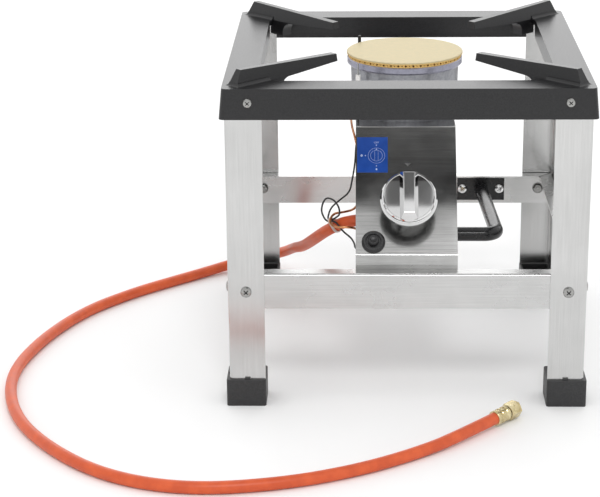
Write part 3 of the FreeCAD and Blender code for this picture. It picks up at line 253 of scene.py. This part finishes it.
finishes = {
    "pot_support": cast,
    "control_panel": steel_panel_painted_shade,
    "dial_label": label_blue,
    "control_knob": chrome,
    "burner_cup": cup_cast,
    "flame_spreader": alloy,
    "burner_cap": cap_brass,
    "gas_pipe": pipe_alloy,
    "electrode_ceramic": ceramic,
    "thermocouple_lead": copper,
    "spark_lead": lead_black,
    "cable_tie": tie_clear,
    "arm_bolts": chrome,
    "gas_hose": hose_rubber,
    "rail_front": steel_along_x,
    "rail_rear": steel_rear_painted_light,
    "rail_left": steel_along_y,
    "rail_right": steel_along_y,
}
for name in ("hose_end_ferrule", "hose_end_nut", "hose_inlet_ferrule"):
    finishes[name] = zinc
for name in ("tap_spindle", "tap_plug", "tap_body", "tap_bonnet", "thermocouple_nut",
             "injector", "pipe_nuts", "hose_inlet_nut"):
    finishes[name] = tap_brass
for name in ("igniter_button", "igniter_housing", "igniter_nut"):
    finishes[name] = black_plastic
for name in ("arm_plate", "support_arm", "burner_saddle", "thermocouple_probe"):
    finishes[name] = black_paint
for name, node in nodes.items():
    if name.startswith("leg_"):
        finish = steel_upright
    elif name.startswith("foot_"):
        finish = foot_plastic
    else:
        finish = finishes.get(name, bright)
    node.data.materials.clear()
    node.data.materials.append(finish)


# Gas hose: its free end rises from the floor's level to the height of the end nut
floor_level = 0.0067
end_height = 0.00995
hose_points = [
    (-0.038, -0.12106, 0.19287),
    (-0.064, -0.12106, 0.19287),
    (-0.088, -0.106, 0.176),
    (-0.104, -0.073, 0.154),
    (-0.113, -0.027, 0.133),
    (-0.120, 0.032, 0.110),
    (-0.127, 0.092, 0.088),
    (-0.132, 0.150, 0.068),
    (-0.137, 0.204, 0.049),
    (-0.153, 0.241, 0.030),
    (-0.185, 0.258, 0.017),
    (-0.223, 0.252, 0.0095),
    (-0.262, 0.222, floor_level),
    (-0.302, 0.186, floor_level),
    (-0.345, 0.145, floor_level),
    (-0.398, 0.078, floor_level),
    (-0.437, -0.020, floor_level),
    (-0.456, -0.130, floor_level),
    (-0.432, -0.242, floor_level),
    (-0.380, -0.328, floor_level),
    (-0.310, -0.396, floor_level),
    (-0.225, -0.425, floor_level),
    (-0.130, -0.411, floor_level),
    (-0.050, -0.377, floor_level),
    (0.020, -0.328, floor_level),
    (0.064, -0.289, end_height),
    (0.094, -0.255, end_height),
]
hose_radius = 0.00665
hose_data = bpy.data.curves.new("hose", "CURVE")
hose_data.dimensions = "3D"
hose_data.resolution_u = 10
hose_data.bevel_depth = hose_radius
hose_data.bevel_resolution = 6
spline = hose_data.splines.new("NURBS")
spline.points.add(len(hose_points) - 1)
for point, place in zip(spline.points, hose_points):
    point.co = (*place, 1.0)
spline.order_u = 3
spline.use_endpoint_u = True
hose = bpy.data.objects.new("hose", hose_data)
collection.objects.link(hose)
hose_data.materials.append(hose_rubber)
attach(hose, "stool")
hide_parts("gas_hose")


def flat_object(name, points, faces, material):
    """A linked object of flat faces in one material."""
    mesh = bpy.data.meshes.new(name)
    mesh.from_pydata(points, [], faces)
    mesh.materials.append(material)
    piece = bpy.data.objects.new(name, mesh)
    collection.objects.link(piece)
    return piece


# Printing on the panel, in millimetres across and down its slope from the middle of its top edge
panel_lean = 40
panel_foot_y = -0.1768
panel_rise = 0.119
panel_top_z = 0.289
panel_top_y = panel_foot_y + panel_rise * math.tan(math.radians(panel_lean))
panel_turn = Matrix.Rotation(math.radians(90 - panel_lean), 4, "X")
panel_frame = Matrix.Translation((0, panel_top_y, panel_top_z)) @ panel_turn


def flat_piece(name, points, faces, x, down, lift, material):
    """A thin printed shape; its points lie around a place on the panel."""
    placed = [((x + u) / 1000, (v - down) / 1000, lift / 1000) for u, v in points]
    piece = flat_object(name, placed, faces, material)
    piece.matrix_world = panel_frame
    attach(piece, "stool")


def ring(name, radius, x, down, lift, material):
    """A printed circle."""
    width = 0.34
    steps = 60
    points = []
    for k in range(steps + 1):
        turn = math.radians(360 * k / steps)
        for r in (radius - width / 2, radius + width / 2):
            points.append((r * math.cos(turn), r * math.sin(turn)))
    faces = [(2 * k, 2 * k + 1, 2 * k + 3, 2 * k + 2) for k in range(steps)]
    flat_piece(name, points, faces, x, down, lift, material)


def strip(name, left, right, x, down, lift, material):
    """A printed bar of the dial's height."""
    half = 5.4
    corners = [(left, -half), (right, -half), (right, half), (left, half)]
    flat_piece(name, corners, [(0, 1, 2, 3)], x, down, lift, material)


dial_x = -32.9
dial_down = 36.0
label_lift = 0.34
bare_lift = 0.05
triangle = [(0, 1, 2)]
dial = (dial_x, dial_down, label_lift, print_white)
ring("dial_outer", 9.3, *dial)
ring("dial_inner", 6.6, *dial)
strip("dial_bar_left", -2.05, -1.75, *dial)
strip("dial_bar_right", 1.75, 2.05, *dial)
flat_piece("dial_pointer", [(-1.1, 7.0), (1.1, 7.0), (0, 9.0)], triangle, *dial)
flat_piece("dial_mark_top", [(-0.9, 13.4), (0, 11.4), (0.9, 13.4)], triangle, *dial)

dot_corners = 12
dot_stretch = 1.25
dots = {
    "left_far": (-16.6, 0, 1.3),
    "left_near": (-12.4, 0, 0.7),
    "low_near": (0, -12.6, 0.6),
    "low_far": (0, -16.6, 1.0),
}
for mark, (u, v, radius) in dots.items():
    rim = []
    for k in range(dot_corners):
        turn = math.radians(360 / dot_corners * k)
        rim.append((u + radius * math.cos(turn), v + dot_stretch * radius * math.sin(turn)))
    flat_piece("dial_mark_" + mark, rim, [tuple(range(dot_corners))], *dial)
flat_piece("panel_mark", [(-3.4, 2.0), (0, -2.2), (3.4, 2.0)], triangle,
           2.0, 47.0, bare_lift, mark_grey)

word_rise = 14.8
word_place = (dial_x / 1000, (word_rise - dial_down) / 1000, label_lift / 1000)
word_data = bpy.data.curves.new("dial_word", "FONT")
word_data.body = "OFF"
word_data.size = 0.0032
word_data.align_x = "CENTER"
word_data.materials.append(print_white)
word = bpy.data.objects.new("dial_word", word_data)
word.matrix_world = panel_frame @ Matrix.Translation(word_place)
collection.objects.link(word)
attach(word, "stool")


# Floor, cards and lights
def rectangle(low_x, high_x, low_y, high_y, z):
    """The corners of a level rectangle."""
    return [(low_x, low_y, z), (high_x, low_y, z), (high_x, high_y, z), (low_x, high_y, z)]


floor_half = 9
floor_drop = 0.0001
floor_material = shader("floor_white", (0.94, 0.94, 0.94), 0.0, 0.9)[0]
floor_corners = rectangle(-floor_half, floor_half, -floor_half, floor_half, 0)
floor = flat_object("floor", floor_corners, [(0, 1, 2, 3)], floor_material)
floor.location.z = -floor_drop


def flag(name, low_x, high_x, low_y, high_y, tone):
    """A dark card over the stand that shows only in reflections, as a studio's flag does."""
    height = 0.70
    card_material = shader(name + "_dark", (tone, tone, tone), 0.0, 1.0)[0]
    corners = rectangle(low_x, high_x, low_y, high_y, height)
    card = flat_object(name, corners, [(0, 1, 2, 3)], card_material)
    card.visible_camera = False
    card.visible_diffuse = False
    card.visible_shadow = False


flag("flag_panel", -0.15, 0.15, -0.36, -0.15, 0.10)
flag("flag_knob", -0.018, 0.048, -0.428, -0.36, 0.13)

# The room is brighter behind the stand than before it
front_strength = 0.92
back_strength = 1.30
world = bpy.data.worlds.new("studio")
scene.world = world
world.use_nodes = True
sky = world.node_tree
around = sky.nodes.new("ShaderNodeTexCoord")
split = sky.nodes.new("ShaderNodeSeparateXYZ")
brightness = sky.nodes.new("ShaderNodeMapRange")
brightness.inputs["From Min"].default_value = 0.0
brightness.inputs["From Max"].default_value = 0.9
brightness.inputs["To Min"].default_value = front_strength
brightness.inputs["To Max"].default_value = back_strength
sky.links.new(around.outputs["Generated"], split.inputs["Vector"])
sky.links.new(split.outputs["Y"], brightness.inputs["Value"])
sky.links.new(brightness.outputs["Result"], sky.nodes["Background"].inputs["Strength"])
sky.nodes["Background"].inputs["Color"].default_value = (1, 1, 1, 1)
scene.view_settings.view_transform = "Standard"


def area_light(name, place, target, width, height, power):
    """A rectangular light at a place, aimed at a target, that the camera doesn't see."""
    data = bpy.data.lights.new(name, "AREA")
    data.shape = "RECTANGLE"
    data.size = width
    data.size_y = height
    data.energy = power
    light = bpy.data.objects.new(name, data)
    light.location = place
    aim = (Vector(target) - Vector(place)).to_track_quat("-Z", "Y")
    light.rotation_euler = aim.to_euler()
    light.visible_camera = False
    collection.objects.link(light)


area_light("key", (0.15, -2.4, 2.45), (0, 0, 0.22), 0.70, 0.70, 22)
area_light("rear", (0, 3.2, 1.45), (0, 0, 0.36), 3.2, 1.8, 17)
